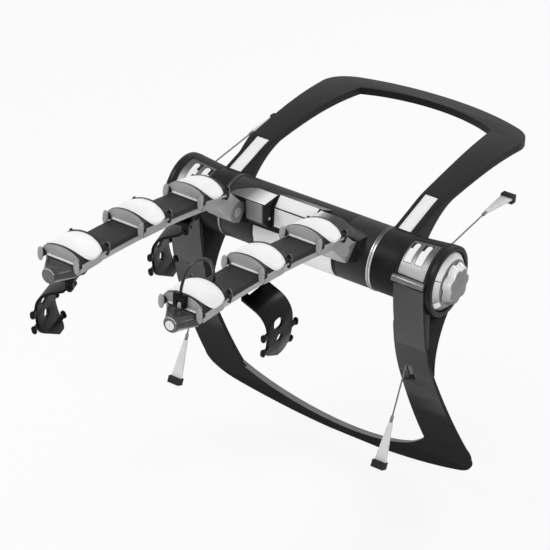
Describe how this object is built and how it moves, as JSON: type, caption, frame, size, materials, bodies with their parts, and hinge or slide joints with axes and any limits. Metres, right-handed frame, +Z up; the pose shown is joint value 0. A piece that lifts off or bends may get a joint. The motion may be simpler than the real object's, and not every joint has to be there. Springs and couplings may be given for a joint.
{
  "type": "trunk mounted bike rack",
  "caption": "Trunk mounted bike rack: two hoop frames clamped round a cross hub, fold-down arms with lined tube cradles, swinging sway cages and knob tensioned hook cables.",
  "frame": {"origin": "middle of the cross hub axis, halfway between the two arms", "axes": "+X along the hub towards the lock side, +Y towards the car (arms point to -Y), +Z up"},
  "size_m": [0.6265, 1.0896, 0.8536],
  "materials": {
    "frame_black": "satin black moulded skin with a fine grain",
    "hub_black": "satin black",
    "core_steel": "drawn tube",
    "arm_dark": "dark grey satin",
    "arm_grey": "grey satin",
    "cradle_grey": "grey satin",
    "liner_white": "soft matt white",
    "stud_grey": "grey satin",
    "cap_grey": "dark glossy grey",
    "trim_silver": "bright brushed",
    "knob_silver": "metallic silver paint",
    "label_white": "plain white",
    "cage_black": "glossy black",
    "rubber_dark": "matt rubber",
    "cable_steel": "twisted strand",
    "cable_black": "smooth plastic jacket",
    "hook_pale": "pale dipped coating",
    "lock_pale": "satin nickel"
  },
  "bodies": {
    "hub": {"hub_core": "core_steel", "centre_cover": "hub_black", "label_plates": "label_white", "hub_sleeves": "hub_black", "trim_rings": "trim_silver", "end_caps": "hub_black", "pivot_ears": "arm_grey", "arm_pins": "trim_silver", "pivot_faceplates": "arm_grey"},
    "upper_hoop": {"upper_frame": "frame_black", "upper_collars": "frame_black", "upper_leg_inserts": "label_white", "upper_pads": "rubber_dark"},
    "lower_hoop": {"lower_frame": "frame_black", "lower_drums": "frame_black", "window_plates": "trim_silver", "window_inserts": "label_white", "stop_rods": "trim_silver", "lower_pads": "rubber_dark", "cable_guides": "rubber_dark"},
    "left_arm": {"left_arm_top": "arm_dark", "left_arm_channel": "arm_grey", "left_cradle_1": "cradle_grey", "left_cradle_2": "cradle_grey", "left_cradle_3": "cradle_grey", "left_liners": "liner_white", "left_studs": "stud_grey", "left_tip_cap": "cap_grey", "left_cage_mounts": "cage_black"},
    "right_arm": {"right_arm_top": "arm_dark", "right_arm_channel": "arm_grey", "right_cradle_1": "cradle_grey", "right_cradle_2": "cradle_grey", "right_cradle_3": "cradle_grey", "right_liners": "liner_white", "right_studs": "stud_grey", "right_tip_cap": "cap_grey", "right_cage_mounts": "cage_black", "cable_clip": "cage_black", "lock_cable": "cable_black"},
    "lock_barrel": {"lock_cylinder": "lock_pale"},
    "left_tip_cage": {"left_cage_tip": "cage_black"},
    "left_hub_cage": {"left_cage_hub": "cage_black"},
    "right_cage": {"right_cage_middle": "cage_black"},
    "left_knob": {"left_knob_base": "knob_silver", "left_knob_grip": "knob_silver"},
    "right_knob": {"right_knob_base": "knob_silver", "right_knob_grip": "knob_silver"},
    "upper_left_line": {"upper_left_cable": "cable_steel", "upper_left_hook": "hook_pale", "upper_left_tip": "rubber_dark"},
    "upper_right_line": {"upper_right_cable": "cable_steel", "upper_right_hook": "hook_pale", "upper_right_tip": "rubber_dark"},
    "lower_left_line": {"lower_left_cable": "cable_steel", "lower_left_hook": "hook_pale", "lower_left_tip": "rubber_dark"},
    "lower_right_line": {"lower_right_cable": "cable_steel", "lower_right_hook": "hook_pale", "lower_right_tip": "rubber_dark"}
  },
  "joints": [
    {"name": "upper_hoop_tilt", "type": "hinge", "parent": "hub", "child": "upper_hoop", "pos_m": [0, 0, 0], "axis": [1, 0, 0], "range_deg": [-20, 30]},
    {"name": "lower_hoop_tilt", "type": "hinge", "parent": "hub", "child": "lower_hoop", "pos_m": [0, 0, 0], "axis": [1, 0, 0], "range_deg": [-15, 25]},
    {"name": "left_arm_fold", "type": "hinge", "parent": "hub", "child": "left_arm", "pos_m": [-0.125, -0.092, 0.054], "axis": [1, 0, 0], "range_deg": [0, 48]},
    {"name": "right_arm_fold", "type": "hinge", "parent": "hub", "child": "right_arm", "pos_m": [0.125, -0.092, 0.054], "axis": [1, 0, 0], "range_deg": [0, 48]},
    {"name": "left_tip_cage_swing", "type": "hinge", "parent": "left_arm", "child": "left_tip_cage", "pos_m": [-0.119, -0.52412, 0.14156], "axis": [-0.2588, 0.9659, 0], "range_deg": [-20, 20]},
    {"name": "left_hub_cage_swing", "type": "hinge", "parent": "left_arm", "child": "left_hub_cage", "pos_m": [-0.119, -0.19953, 0.08255], "axis": [-0.2588, 0.9659, 0], "range_deg": [-20, 20]},
    {"name": "right_cage_swing", "type": "hinge", "parent": "right_arm", "child": "right_cage", "pos_m": [0.107, -0.35062, 0.11908], "axis": [0, 1, 0], "range_deg": [-20, 20]},
    {"name": "lock_turn", "type": "hinge", "parent": "right_arm", "child": "lock_barrel", "pos_m": [0.125, -0.59501, 0.17794], "axis": [0, -0.9974, 0.0727], "range_deg": [0, 90]},
    {"name": "left_knob_turn", "type": "hinge", "parent": "hub", "child": "left_knob", "pos_m": [-0.29, 0, 0], "axis": [1, 0, 0], "range_deg": [-60, 60]},
    {"name": "right_knob_turn", "type": "hinge", "parent": "hub", "child": "right_knob", "pos_m": [0.3, 0, 0], "axis": [1, 0, 0], "range_deg": [-60, 60]},
    {"name": "upper_left_draw", "type": "slide", "parent": "lower_hoop", "child": "upper_left_line", "axis": [0, 0.9989, 0.0471], "range_m": [-0.008, 0.008]},
    {"name": "upper_right_draw", "type": "slide", "parent": "lower_hoop", "child": "upper_right_line", "axis": [0, 0.9989, 0.0471], "range_m": [-0.008, 0.008]},
    {"name": "lower_left_draw", "type": "slide", "parent": "lower_hoop", "child": "lower_left_line", "axis": [0, -0.421, -0.907], "range_m": [-0.008, 0.008]},
    {"name": "lower_right_draw", "type": "slide", "parent": "lower_hoop", "child": "lower_right_line", "axis": [0, -0.421, -0.907], "range_m": [-0.008, 0.008]}
  ],
  "couplings": [
    {"joint": "upper_left_draw", "follows": "left_knob_turn", "m_per_rad": -0.0076},
    {"joint": "upper_right_draw", "follows": "right_knob_turn", "m_per_rad": 0.0076},
    {"joint": "lower_left_draw", "follows": "left_knob_turn", "m_per_rad": -0.0076},
    {"joint": "lower_right_draw", "follows": "right_knob_turn", "m_per_rad": 0.0076}
  ]
}
